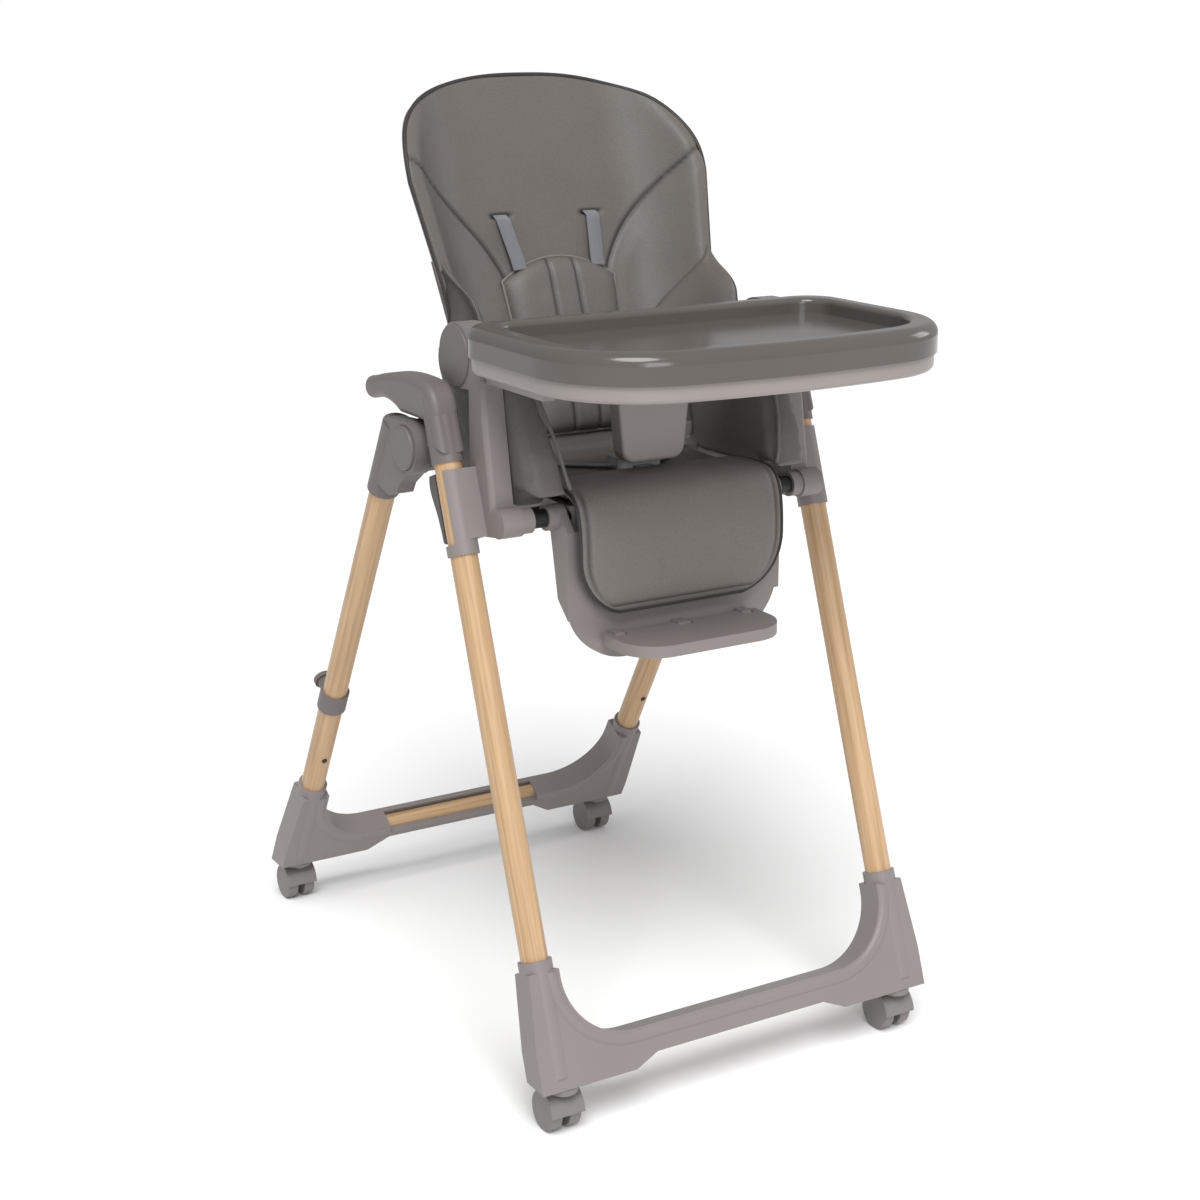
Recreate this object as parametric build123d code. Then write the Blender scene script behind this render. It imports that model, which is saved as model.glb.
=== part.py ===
from build123d import *
import os
from math import cos, pi, radians, sin, tan

# Folding baby high chair, millimetres, +Z up.
# The front of the chair faces -Y, and "left" means -X, as seen by someone standing in front of it.
# The origin is on the floor, under the middle of the chair's bounding box.

# ---------------------------------------------------------------- driving dimensions
OVERALL_HEIGHT = 1080.0     # floor to the top of the backrest, seat in its highest position
HALF_DEPTH = 414.5          # tray front and rear casters are this far from the origin

FRONT_LEAN = 19.75          # degrees, the front legs' tops lean back
REAR_LEAN = -29.3           # degrees, the rear legs' tops lean forward
FRONT_LEG_X = 230.0
REAR_LEG_X = 238.0
FRONT_FOOT_Y = -340.0       # where the front leg axis meets the floor
REAR_FOOT_Y = 409.0

TUBE_R = 15.0
TUBE_WALL = 1.5
FIT = 0.05                  # radial clearance between parts that slide or turn in one another

PIVOT_Y = -36.0             # fold pivot, shared by the hub and the rear leg bracket
PIVOT_Z = 695.0

WHEEL_R = 22.5
TRAIL = 14.0                # caster axle behind its swivel axis
FRONT_CASTER = (223.0, -322.0)
REAR_CASTER = (232.0, HALF_DEPTH - WHEEL_R - TRAIL)

SEAT_OUTER_X = 207.0        # outer face of the side columns, just inside the hubs
SEAT_INNER_X = 181.0
LEGREST_AXIS = (-160.0, 630.0)
BACK_AXIS = (28.0, 616.0)
BACK_RECLINE = 20.0         # degrees from vertical
BACK_FOOT = (-3.3, 640.0)   # y, z where the backrest's padded face starts

TRAY_HALF_WIDTH = 235.0
TRAY_BACK = -120.0
TRAY_FRONT_CORNER = 118.0
TRAY_BACK_CORNER = 46.0
TRAY_BASE_Z = 790.0
TRAY_SPLIT_Z = 808.0        # the upper tray rests on the lower one here
TRAY_TOP_Z = 840.0


# ---------------------------------------------------------------- helpers
def side_solid(outline, x_from, x_to):
    """An outline drawn in (y, z), extruded along X."""
    return extrude(Plane.YZ.offset(x_from) * outline, amount=x_to - x_from)


def polygon(*points):
    return make_face(Polyline(*points, close=True))


def rod_x(x_from, x_to, y, z, radius):
    return side_solid(Pos(y, z) * Circle(radius), x_from, x_to)


def upright_rod(x, y, z_from, z_to, radius):
    return extrude(Plane.XY.offset(z_from) * Pos(x, y) * Circle(radius), amount=z_to - z_from)


def box(x_range, y_range, z_range):
    """A box given by its lowest and highest X, Y and Z."""
    size = [high - low for low, high in (x_range, y_range, z_range)]
    return Pos(x_range[0], y_range[0], z_range[0]) * Box(*size, align=(Align.MIN,) * 3)


def leaning_plane(foot_y, lean):
    """Drawing plane through a pair of legs: local x is X, local y runs up along the legs."""
    angle = radians(lean)
    return Plane(origin=(0, foot_y, 0), x_dir=(1, 0, 0), z_dir=(0, -cos(angle), sin(angle)))


def leg_frame(foot_y, lean, leg_x):
    """Frame on one leg: local z runs up along its axis, starting at the floor."""
    angle = radians(lean)
    return Plane(origin=(leg_x, foot_y, 0), x_dir=(1, 0, 0), z_dir=(0, sin(angle), cos(angle)))


def leg_rod(frame, t_from, t_to, radius):
    return extrude(frame.offset(t_from) * Circle(radius), amount=t_to - t_from)


def leg_tube(frame, t_from, t_to, outer, inner):
    return leg_rod(frame, t_from, t_to, outer) - leg_rod(frame, t_from, t_to, inner)


def left_of(right_part):
    return mirror(right_part, about=Plane.YZ)


def save(name, *solids):
    """Writes one node: a single solid, or a group of identical ones."""
    shape = solids[0] if len(solids) == 1 else Compound(children=list(solids))
    shape.label = name
    export_step(shape, f"parts/{name}.step")


def save_pair(name, right_part):
    save(f"{name}_right", right_part)
    save(f"{name}_left", left_of(right_part))


def save_both(name, right_part):
    save(name, right_part, left_of(right_part))


FRONT_RIGHT = leg_frame(FRONT_FOOT_Y, FRONT_LEAN, FRONT_LEG_X)
REAR_RIGHT = leg_frame(REAR_FOOT_Y, REAR_LEAN, REAR_LEG_X)


def front_t(z):
    """Distance along the front leg at height z."""
    return z / cos(radians(FRONT_LEAN))


def rear_t(z):
    return z / cos(radians(REAR_LEAN))


def front_leg_y(z):
    return FRONT_FOOT_Y + z * tan(radians(FRONT_LEAN))


def rear_leg_y(z):
    return REAR_FOOT_Y + z * tan(radians(REAR_LEAN))


# ---------------------------------------------------------------- foot bars
FOOT_THICK = 34.0           # web, front to back
BEAD_WIDTH = 18.0           # raised rim along the inner edge
BEAD_THICK = 38.0
SOCKET_R = 18.5
FOOT_OUTER = 25.0           # web edge outboard of the leg axis at the bottom
FOOT_FILLET_R = 75.0        # inner corner between tower and bar
CASTER_FLOOR_Z = 57.0       # underside of the corners
FRONT_BAR_Z = (182.0, 92.0, 69.0)   # top of the leg sockets, top and underside of the bar
REAR_BAR_Z = (192.0, 101.0, 74.0)
FRONT_SEAM_Z, FRONT_TUBE_TOP_Z = 262.0, 747.0
REAR_SEAM_Z, REAR_TUBE_TOP_Z = 259.0, 705.0
STUB_RAISE = 12.0           # a stub starts this far above the bar's top
CASTER_STEM_R = 5.0


def foot_bar(foot_y, lean, leg_x, socket_top, bar_top, bar_bottom, caster):
    """U-shaped moulding that joins a pair of legs: two towers, a bar and a raised inner rim."""
    plane = leaning_plane(foot_y, lean)
    rise = cos(radians(lean))
    t_top, t_bar, t_low = socket_top / rise, bar_top / rise, (CASTER_FLOOR_Z - 20) / rise
    inner = leg_x - SOCKET_R
    outer = leg_x + FOOT_OUTER
    half = Polyline(
        (0, t_low), (outer, t_low), (outer, t_low + 60), (leg_x + SOCKET_R - 1, t_top - 12),
        (inner, t_top - 12), (inner, t_bar), (0, t_bar),
    )
    web = make_face(half + Line((0, t_bar), (0, t_low)))
    web += mirror(web, about=Plane.YZ)
    corners = [v for v in web.vertices() if abs(abs(v.X) - inner) < 1 and abs(v.Y - t_bar) < 1]
    web = fillet(corners, FOOT_FILLET_R)
    body = extrude(plane * web, amount=FOOT_THICK / 2, both=True)

    middle = inner + BEAD_WIDTH / 2
    t_path = t_bar - BEAD_WIDTH / 2
    path = FilletPolyline(
        (-middle, t_top - 14), (-middle, t_path), (middle, t_path), (middle, t_top - 14),
        radius=FOOT_FILLET_R + BEAD_WIDTH / 2,
    )
    path = plane * path
    start = Plane(path @ 0, x_dir=plane.z_dir, z_dir=path % 0)
    body += sweep(start * RectangleRounded(BEAD_THICK, BEAD_WIDTH, 8), path=path)

    frame = leg_frame(foot_y, lean, leg_x)
    for leg in (frame, leg_frame(foot_y, lean, -leg_x)):
        body += leg_rod(leg, t_bar - 30, t_top, SOCKET_R)
        body -= leg_rod(leg, t_bar + 10, t_top, TUBE_R + FIT)

    # Level underside, higher under the bar than at the corners.
    step_in, step_out, far = 111.0, 140.0, leg_x + 60
    below = polygon(
        (-far, -60), (far, -60), (far, CASTER_FLOOR_Z), (step_out, CASTER_FLOOR_Z), (step_in, bar_bottom),
        (-step_in, bar_bottom), (-step_out, CASTER_FLOOR_Z), (-far, CASTER_FLOOR_Z),
    )
    body -= extrude(Plane.XZ.offset(-foot_y) * below, amount=140, both=True)
    for x in (-caster[0], caster[0]):
        body -= upright_rod(x, caster[1], CASTER_FLOOR_Z, CASTER_FLOOR_Z + 24, CASTER_STEM_R + FIT)
    return body


def rear_foot_parts():
    """Rear foot bar with the wood-look cross tube lying in an open-topped channel of its bar."""
    tube_r, reach = 10.0, 138.0
    bar = foot_bar(REAR_FOOT_Y, REAR_LEAN, REAR_LEG_X, *REAR_BAR_Z, REAR_CASTER)
    plane = leaning_plane(REAR_FOOT_Y, REAR_LEAN).location
    t_tube = rear_t(REAR_BAR_Z[1]) - tube_r - 1
    along = plane * Pos(0, t_tube, 0) * Rot(0, 90, 0)
    window = plane * Pos(0, t_tube + 16, 10) * Box(2 * 113, 30, 2 * tube_r + 20)
    bar -= along * Cylinder(tube_r + FIT, 2 * reach + 1)
    bar -= window
    tube = along * (Cylinder(tube_r, 2 * reach) - Cylinder(tube_r - TUBE_WALL, 2 * reach))
    return bar, tube


# ---------------------------------------------------------------- legs
def leg_parts(frame, t_low, t_seam, t_top, button_side):
    """Lower stub, upper tube with its necked spigot, and the snap button that locks them."""
    inner = TUBE_R - TUBE_WALL
    spigot_r, spigot_bore = inner - FIT, inner - TUBE_WALL
    stub = leg_tube(frame, t_low, t_seam, TUBE_R, inner)
    tube = leg_tube(frame, t_seam, t_top, TUBE_R, inner)
    tube += leg_tube(frame, t_seam, t_seam + 4, TUBE_R, spigot_bore)
    tube += leg_tube(frame, t_seam - 60, t_seam + 4, spigot_r, spigot_bore)
    hole = frame.from_local_coords((0, 0, t_seam - 18))
    across = Plane(hole, x_dir=(1, 0, 0), z_dir=frame.y_dir * button_side)
    stub -= extrude(across * Circle(3.5), amount=TUBE_R + 1)
    button = extrude(across.offset(spigot_r) * Circle(3.4), amount=TUBE_R + 1 - spigot_r)
    return stub, tube, button


# ---------------------------------------------------------------- hub and rear bracket
HUB_X = (213.0, 247.0)
HUB_PLATE_X = 232.5         # inboard pivot plate ends here, the rear bracket starts just outboard
BRACKET_X = (233.5, 254.0)
HUB_PLATE_R = 28.0
LOBE_R = 30.0
BUTTON_R = 24.5
BUTTON_TRAVEL = 4.0
PIN_R = 6.0


def hub():
    """Cap on the front leg's top: a sleeve, a horn that curves back, and the fold pivot's plate."""
    horn = make_face(
        Line((-107, 700), (-93, 738))
        + ThreePointArc((-93, 738), (-84, 761), (-58, 771))
        + Spline((-58, 771), (5, 770), (67, 757))
        + ThreePointArc((67, 757), (82.5, 744.5), (68, 732))
        + Spline((68, 732), (30, 737), (-8, 728))
        + Polyline((-8, 728), (-72, 728), (-72, 700), (-107, 700))
    )
    body = side_solid(horn, *HUB_X)
    rims = body.faces().sort_by(Axis.X)
    body = fillet(rims[0].edges() + rims[-1].edges(), 9)
    plate = Pos(PIVOT_Y, PIVOT_Z) * Circle(HUB_PLATE_R)
    plate += polygon((-36, 723), (-36, 667), (-98, 690), (-90, 735), (-30, 735), (-14, 728))
    body += side_solid(plate, HUB_X[0] + 1, HUB_PLATE_X)
    body += leg_rod(FRONT_RIGHT, front_t(686), front_t(752), TUBE_R + 2.5)
    body -= leg_rod(FRONT_RIGHT, front_t(680), front_t(748), TUBE_R + FIT)
    body -= rod_x(HUB_X[0], HUB_X[1], PIVOT_Y, PIVOT_Z, PIN_R + FIT)
    return body


def rear_bracket():
    """Holds the rear leg and turns on the fold pivot, with a recess for the fold button."""
    sleeve_r = TUBE_R + 3.5
    lobe = Pos(PIVOT_Y, PIVOT_Z) * Circle(LOBE_R)
    lobe += polygon((-36, 724.5), (14, 721), (50, 645), (8, 634), (-14, 640), (-22, 652), (-58, 676))
    body = side_solid(lobe, *BRACKET_X)
    body += leg_rod(REAR_RIGHT, rear_t(630), rear_t(713), sleeve_r)
    body -= leg_rod(REAR_RIGHT, rear_t(625), rear_t(706), TUBE_R + FIT)
    body -= rod_x(BRACKET_X[0], BRACKET_X[1], PIVOT_Y, PIVOT_Z, PIN_R + FIT)
    body -= rod_x(BRACKET_X[1] - BUTTON_TRAVEL - 4, BRACKET_X[1], PIVOT_Y, PIVOT_Z, BUTTON_R + 0.5)
    return body


def fold_button():
    face = rod_x(BRACKET_X[1] - 3, BRACKET_X[1] + 4, PIVOT_Y, PIVOT_Z, BUTTON_R)
    return fillet(face.faces().sort_by(Axis.X)[-1].edges(), 2.5)


def pivot_pin():
    return rod_x(HUB_X[0] + 1.5, BRACKET_X[1] - BUTTON_TRAVEL - 4.5, PIVOT_Y, PIVOT_Z, PIN_R)


def tray_hook():
    """Clip round the rear leg with a stub on its back, where the tray hangs when it is off."""
    t = rear_t(331)
    clip = leg_tube(REAR_RIGHT, t - 14, t + 14, TUBE_R + 3, TUBE_R + FIT)
    across = Plane(REAR_RIGHT.from_local_coords((0, 0, t)), x_dir=(1, 0, 0), z_dir=REAR_RIGHT.y_dir)
    stub = extrude(across.offset(TUBE_R + 1) * Circle(9), amount=14)
    knob = extrude(across.offset(TUBE_R + 15) * Circle(12), amount=6)
    return clip + stub + knob


# ---------------------------------------------------------------- casters
WHEEL_X = (4.5, 18.5)
AXLE_R = 3.0
BRAKE_AXIS = (8.0, 50.75)   # behind the axle, above the floor
BRAKE_PIN_R = 1.2


def caster_fork(x, y, braked):
    """Swivelling part: stem, flange, web between the wheels and the hood over their front."""
    axle_y = y + TRAIL
    flange = upright_rod(x, y, 50, CASTER_FLOOR_Z - 0.5, 16.5)
    stem = upright_rod(x, y, 50, CASTER_FLOOR_Z + 22, CASTER_STEM_R)
    web = side_solid(polygon(
        (y - 8, 54), (axle_y - 7, 17), (axle_y + 7, 17), (axle_y + 9, 40), (y + 13, 54)), x - 3, x + 3)
    hood = Pos(axle_y, WHEEL_R) * (Circle(WHEEL_R + 4.5) - Circle(WHEEL_R + 1.2))
    hood &= polygon((axle_y - 40, 26), (axle_y - 6, WHEEL_R), (axle_y + 14, 70), (axle_y - 40, 70))
    fork = flange + stem + web + side_solid(hood, x - 20, x + 20)
    if braked:
        fork += box((x - 3, x + 3), (axle_y - 4, axle_y + 11), (46.5, 54))
        fork += rod_x(x - 8, x + 8, axle_y + BRAKE_AXIS[0], BRAKE_AXIS[1], BRAKE_PIN_R)
    return fork - rod_x(x - 5, x + 5, axle_y, WHEEL_R, AXLE_R + FIT)


def caster_wheels(x, y):
    """Two wheels on one axle, all turning together."""
    wheels = rod_x(x - WHEEL_X[1] + 2, x + WHEEL_X[1] - 2, y + TRAIL, WHEEL_R, AXLE_R)
    for low in (x + WHEEL_X[0], x - WHEEL_X[1]):
        tyre = rod_x(low, low + WHEEL_X[1] - WHEEL_X[0], y + TRAIL, WHEEL_R, WHEEL_R)
        wheels += fillet(tyre.edges(), 2)
    return wheels


def brake_lever(x, y):
    """Foot tab behind the hood, slotted over the fork's lug."""
    axle_y = y + TRAIL
    tab = box((x - 10, x + 10), (axle_y + 5.5, axle_y + WHEEL_R - 0.5), (48.5, 53))
    tab -= box((x - 3.5, x + 3.5), (axle_y, axle_y + 12), (46, 56))
    return tab - rod_x(x - 11, x + 11, axle_y + BRAKE_AXIS[0], BRAKE_AXIS[1], BRAKE_PIN_R + FIT)


# ---------------------------------------------------------------- seat frame
SLIDER_Z = (592.0, 678.0)
SLIDER_R = TUBE_R + 2.5
SEAT_TUBE_R = 10.0
REAR_TUBE = (-118.0, 622.0)
ARMREST_TOP = 832.0
ARM_Z = (774.5, 788.5)      # tray arms and their slots in the armrests
ARM_X = (187.0, 201.0)
CAP_R = 35.0
CAP_CENTRE = (-70.0, 797.0)


def side_column():
    """Upright beside the seat with the armrest on top and the tray arm's slot in it."""
    outline = polygon((-154, 614), (-127, 772), (-127, 789), (-117, 789), (-117, ARMREST_TOP),
                      (CAP_CENTRE[0], ARMREST_TOP), (CAP_CENTRE[0], 762), (-100, 764), (-100, 606))
    outline += Pos(*CAP_CENTRE) * Circle(CAP_R)
    outline += Pos(*LEGREST_AXIS) * Circle(16)
    body = side_solid(outline, SEAT_INNER_X, SEAT_OUTER_X)
    uprights = body.faces().sort_by(Axis.X)[-1].edges().filter_by(GeomType.LINE).sort_by(SortBy.LENGTH)[-2:]
    body = fillet(uprights.sort_by(Axis.Y)[0], 6)
    body += rod_x(SEAT_INNER_X - 13, SEAT_INNER_X + 1, *LEGREST_AXIS, 14)
    clear = 0.5
    body -= box((ARM_X[0] - clear, ARM_X[1] + clear), (-160, -44), (ARM_Z[0] - clear, ARM_Z[1] + clear))
    for y, z in (LEGREST_AXIS, REAR_TUBE):
        body -= rod_x(SEAT_INNER_X - 14, SEAT_INNER_X + 9, y, z, SEAT_TUBE_R + FIT)
    return body


def armrest_cap():
    """Round cover on the outer rear end of the armrest."""
    cap = rod_x(SEAT_OUTER_X, SEAT_OUTER_X + 3.5, *CAP_CENTRE, CAP_R - 2)
    return fillet(cap.faces().sort_by(Axis.X)[-1].edges(), 2.5)


def slider():
    """Runs on the front leg: a sleeve open on its outer side, and the block that carries the column."""
    low, high = (front_t(z) for z in SLIDER_Z)
    inner_x = SEAT_OUTER_X - FRONT_LEG_X
    frame = FRONT_RIGHT.location
    body = leg_rod(FRONT_RIGHT, low, high, SLIDER_R)
    body += frame * Pos(inner_x / 2, -2.5, (low + 16 + high) / 2) * Box(-inner_x, 30, high - low - 16)
    body -= leg_rod(FRONT_RIGHT, low - 1, high + 1, TUBE_R + FIT)
    window_low = low + 12
    body -= frame * Pos(17, 8, (window_low + high + 2) / 2) * Box(20, 38, high + 2 - window_low)
    return body


def height_lever():
    """Wavy grip behind the slider, pushed up to free the seat's height."""
    outline = make_face(
        Polyline((-104, 600), (-98, 600))
        + Spline((-98, 600), (-89, 619), (-80, 634), (-70, 648), (-66, 667))
        + Polyline((-66, 667), (-79, 672), (-104, 600))
    )
    return side_solid(outline, FRONT_LEG_X - 8, FRONT_LEG_X + 9)


def seat_tube(y, z):
    end = SEAT_INNER_X + 8
    return rod_x(-end, end, y, z, SEAT_TUBE_R) - rod_x(-end, end, y, z, SEAT_TUBE_R - TUBE_WALL)


PAN_X = 126.0
PAN_Z = (606.0, 641.5)
BACK_EAR_X = (82.0, 92.0)   # pan ears, the backrest's ears lie just outboard
EAR_R = 11.0
BACK_PIN_R = 4.0


def seat_pan():
    """Moulded pan, hollow underneath, held by the two cross tubes, with ears for the backrest."""
    pan = box((-PAN_X, PAN_X), (-172, 12), PAN_Z)
    pan = fillet(pan.edges().filter_by(Axis.Z), 10)
    pan -= box((-PAN_X + 5, PAN_X - 5), (-100, 7), (PAN_Z[0] - 1, PAN_Z[1] - 5))
    for y, z in (LEGREST_AXIS, REAR_TUBE):
        pan -= rod_x(-PAN_X - 1, PAN_X + 1, y, z, SEAT_TUBE_R + FIT)
    ear = Pos(*BACK_AXIS) * Circle(EAR_R)
    ear += polygon((6, 606), (28, 605), (28, 627), (6, 636))
    right_ear = side_solid(ear, *BACK_EAR_X)
    pan += right_ear + left_of(right_ear)
    return pan - rod_x(-PAN_X, PAN_X, *BACK_AXIS, BACK_PIN_R + FIT)


def backrest_pin():
    return rod_x(-BACK_EAR_X[1] - 11, BACK_EAR_X[1] + 11, *BACK_AXIS, BACK_PIN_R)


# ---------------------------------------------------------------- seat cushions and harness
SEAT_TOP_Z = 658.0


def seat_cushion():
    pad = box((-PAN_X, PAN_X), (-172, 0), (PAN_Z[1] + 0.3, SEAT_TOP_Z))
    return fillet(pad.edges().filter_by(Axis.Z), 18)


def seat_side_pad():
    """Padded flank between the seat cushion and the side column, leaning in towards its bottom."""
    section = polygon((129, 664), (135, 678), (152, 790), (178, 790), (174, 650), (140, 650))
    flank = extrude(Plane.XZ.offset(-60) * section, amount=260)
    outline = polygon((-190, 672), (-176, 713), (-154, 749), (-132, 790), (42, 790), (-4, 660), (-4, 650),
                      (-138, 650), (-152, 668))
    return flank & side_solid(outline, 100, 200)


def strap_between(start, end, width, thick):
    """Flat strap lying level between two points of its underside's centre line."""
    run = Vector(end) - Vector(start)
    plane = Plane(origin=start, x_dir=run, z_dir=(0, 0, 1))
    return extrude(plane * Pos(run.length / 2, 0) * Rectangle(run.length, width), amount=thick)


BUCKLE_Y = -98.0
BUCKLE_BUTTON_R = 9.0


def lap_strap():
    return strap_between((118, -16, SEAT_TOP_Z + 0.3), (36, BUCKLE_Y + 7, SEAT_TOP_Z + 0.3), 20, 1.6)


def crotch_strap():
    return strap_between((0, -158, SEAT_TOP_Z + 0.3), (0, BUCKLE_Y - 19, SEAT_TOP_Z + 0.3), 25, 1.6)


def buckle():
    shell = box((-28, 28), (BUCKLE_Y - 18, BUCKLE_Y + 18), (SEAT_TOP_Z + 0.3, SEAT_TOP_Z + 14))
    shell = fillet(shell.edges().filter_by(Axis.Z), 9)
    return shell - upright_rod(0, BUCKLE_Y, SEAT_TOP_Z + 8, SEAT_TOP_Z + 20, BUCKLE_BUTTON_R + 0.3)


def buckle_button():
    return upright_rod(0, BUCKLE_Y, SEAT_TOP_Z + 11, SEAT_TOP_Z + 15, BUCKLE_BUTTON_R)


# ---------------------------------------------------------------- backrest
BACK_HALF_WIDTH = 195.0
BACK_WIDEST = 330.0         # along the backrest, where the sides are widest
BACK_FOOT_HALF_WIDTH = 150.0
BACK_FOOT_V = 22.0
ROUNDNESS = 2.5             # superellipse exponent of the top
SHELL_THICK = 9.6

BACK = leaning_plane(BACK_FOOT[0], BACK_RECLINE)
BACK.origin = Vector(0, *BACK_FOOT)
BACK_TOP = (OVERALL_HEIGHT - BACK_FOOT[1]) / cos(radians(BACK_RECLINE))


def back_outline(inset):
    """Outline of the backrest in its own plane: straight flared sides under a superellipse arch."""
    wide, tall = BACK_HALF_WIDTH - inset, BACK_TOP - BACK_WIDEST - inset
    steps = 8
    arch = []
    for i in range(steps + 1):
        angle = pi / 2 * i / steps
        across, up = cos(angle) ** (2 / ROUNDNESS), sin(angle) ** (2 / ROUNDNESS)
        arch.append((wide * across, BACK_WIDEST + tall * up))
    foot = BACK_FOOT_HALF_WIDTH - inset
    right = Line((foot, BACK_FOOT_V), (wide, BACK_WIDEST)) + Spline(*arch)
    left = mirror(right, about=Plane.YZ)
    return make_face(right + left + Line((-foot, BACK_FOOT_V), (foot, BACK_FOOT_V)))


def back_prism(outline, w_from, w_to):
    return extrude(BACK.offset(w_from) * outline, amount=w_to - w_from)


# The backrest is a trough: across it, each surface is flat in the middle and sweeps forward at the sides.
# Shares of the way from the flat part's edge to the outline, and how far forward the outside stands there.
FLAT_HALF_WIDTH = 105.0
SIDE_SHARES = (0.0, 0.33, 0.69, 1.0, 1.2)
OUTSIDE_MIDDLE = (-38.0, -22.0, 15.0, 50.0, 75.0)
OUTSIDE_TOP = (-26.0, -15.0, 15.0, 46.0, 70.0)
PADDING = (28.0, 23.0, 19.0, 16.0, 15.0)


def side_half_width(v):
    """Half-width of the backrest's straight flared part."""
    share = (v - BACK_FOOT_V) / (BACK_WIDEST - BACK_FOOT_V)
    return BACK_FOOT_HALF_WIDTH + share * (BACK_HALF_WIDTH - BACK_FOOT_HALF_WIDTH)


def across_points(half_width, outside, step):
    """Right side of one surface in a cross-section. step is its height over the outside of the shell."""
    return [(FLAT_HALF_WIDTH + share * (half_width - FLAT_HALF_WIDTH), w + lift)
            for share, w, lift in zip(SIDE_SHARES, outside, step)]


def across_line(points):
    """Level line over the flat middle, carried on by a smooth sweep on each side."""
    sweep = Spline(*points, tangents=[(1, 0), Vector(*points[-1]) - Vector(*points[-2])])
    (x, w) = points[0]
    return Line((-x, w), (x, w)) + sweep + mirror(sweep, about=Plane.YZ)


def trough(stations, low, high):
    """Solid between two surfaces. low and high are their heights over the outside of the shell."""
    sections = []
    for v, half_width, outside in stations:
        plane = Plane(origin=BACK.from_local_coords((0, v, 0)), x_dir=(1, 0, 0), z_dir=-BACK.y_dir)
        under = across_points(half_width, outside, low)
        over = across_points(half_width, outside, high)
        tip = Line(under[-1], over[-1])
        outline = across_line(under) + across_line(over) + tip + mirror(tip, about=Plane.YZ)
        sections.append(plane * make_face(outline))
    return loft(sections, ruled=True)


BACK_STATIONS = (
    (BACK_FOOT_V, BACK_FOOT_HALF_WIDTH, OUTSIDE_MIDDLE),
    (BACK_WIDEST, BACK_HALF_WIDTH, OUTSIDE_MIDDLE),
    (BACK_TOP + 4, BACK_HALF_WIDTH, OUTSIDE_TOP),
)


def below_rim():
    """Everything behind the backrest's front edge: forward at the wings, falling away at the top."""
    rim = polygon((0, 0), (146, 0), (162, 46), (200, 55), (355, 52), (400, 34), (BACK_TOP, 0),
                  (BACK_TOP + 10, -60), (0, -60))
    side = Plane(origin=BACK.origin, x_dir=BACK.y_dir, z_dir=(1, 0, 0))
    return extrude(side.offset(-250) * rim, amount=500)


SHELL_WALL = (SHELL_THICK,) * 5
PAD_BACK = tuple(wall + 0.4 for wall in SHELL_WALL)
PAD_FRONT = tuple(back + fill for back, fill in zip(PAD_BACK, PADDING))
WING_FRONT = (50.0, 50.0, 50.0, 45.0, 42.0)


def backrest_cushion():
    pad = trough(BACK_STATIONS, PAD_BACK, PAD_FRONT)
    return pad & back_prism(back_outline(0), -60, 100) & below_rim()


def back_wing():
    """Extra pad sewn on each side of the backrest, low down, beside the child's hips."""
    low, high = 160, 240
    stations = [(v, side_half_width(v), OUTSIDE_MIDDLE) for v in (low, high)]
    pad = trough(stations, [w + 2.5 for w in PAD_FRONT], WING_FRONT)
    lane = polygon((108, low), (200, low), (200, high), (170, high), (136, 214))
    return pad & back_prism(lane, 5, 66) & back_prism(back_outline(2), -60, 100)


def backrest_shell():
    """Hard back, curved round the sides, with stiffening ribs and the ears that turn on the hinge pin."""
    shell = trough(BACK_STATIONS, (0,) * 5, SHELL_WALL)
    shell = shell & back_prism(back_outline(2), -60, 100) & below_rim()
    back_face = OUTSIDE_MIDDLE[0]
    for v in (110, 190, 270):
        shell += back_prism(Pos(0, v) * RectangleRounded(170, 6, 2.9), back_face - 2, back_face + 3)
    ear = Pos(*BACK_AXIS) * Circle(EAR_R)
    ear += polygon((17, 616), (22, 634), (34, 662), (50, 660), (39, 616))
    right_ear = side_solid(ear, BACK_EAR_X[1] + 0.5, BACK_EAR_X[1] + 10.5)
    right_ear -= back_prism(Rectangle(600, 1200), back_face + 4, 90)
    shell += right_ear + left_of(right_ear)
    shell -= back_prism(Pos(0, 300) * Rectangle(64, 34), back_face - 3, back_face + 8)
    return shell - rod_x(-120, 120, *BACK_AXIS, BACK_PIN_R + FIT)


def recline_handle():
    """Squeeze grip in the back of the shell, pulled up to free the recline."""
    back_face = OUTSIDE_MIDDLE[0]
    return back_prism(Pos(0, 295) * RectangleRounded(60, 20, 6), back_face - 5, back_face + 7)


def insert_pad():
    """Small removable pad with an arched top, lying on the middle of the backrest."""
    outline = make_face(
        Polyline((-74, 222), (-58, 40), (58, 40), (74, 222))
        + ThreePointArc((74, 222), (0, 249), (-74, 222))
    )
    return back_prism(outline, 0.3, 18)


def shoulder_strap():
    """Shoulder belt from its slot down to the insert pad, angled in and forward."""
    path = Plane(BACK.from_local_coords((62, 299, 2)), x_dir=(1, 0, 0),
                 z_dir=BACK.from_local_coords((46, 222, 25)) - BACK.from_local_coords((62, 299, 2)))
    return extrude(path * Rectangle(18, 1.6), amount=80)


# ---------------------------------------------------------------- legrest and footrest
LEG_HALF_WIDTH = 138.0
LEG_Z = (470.0, 617.0)
LEG_FRONT = -189.0          # front face of the panel
LEG_THICK = 10.0
FLANGE = 9.0
FOOT_AXIS = (-203.0, 497.0)
FOOT_PIN_R = 3.2
KNUCKLE_R = 6.5
FOOT_HALF_WIDTH = 99.0
KNUCKLE_X = (FOOT_HALF_WIDTH - 22, FOOT_HALF_WIDTH - 10)


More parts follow.
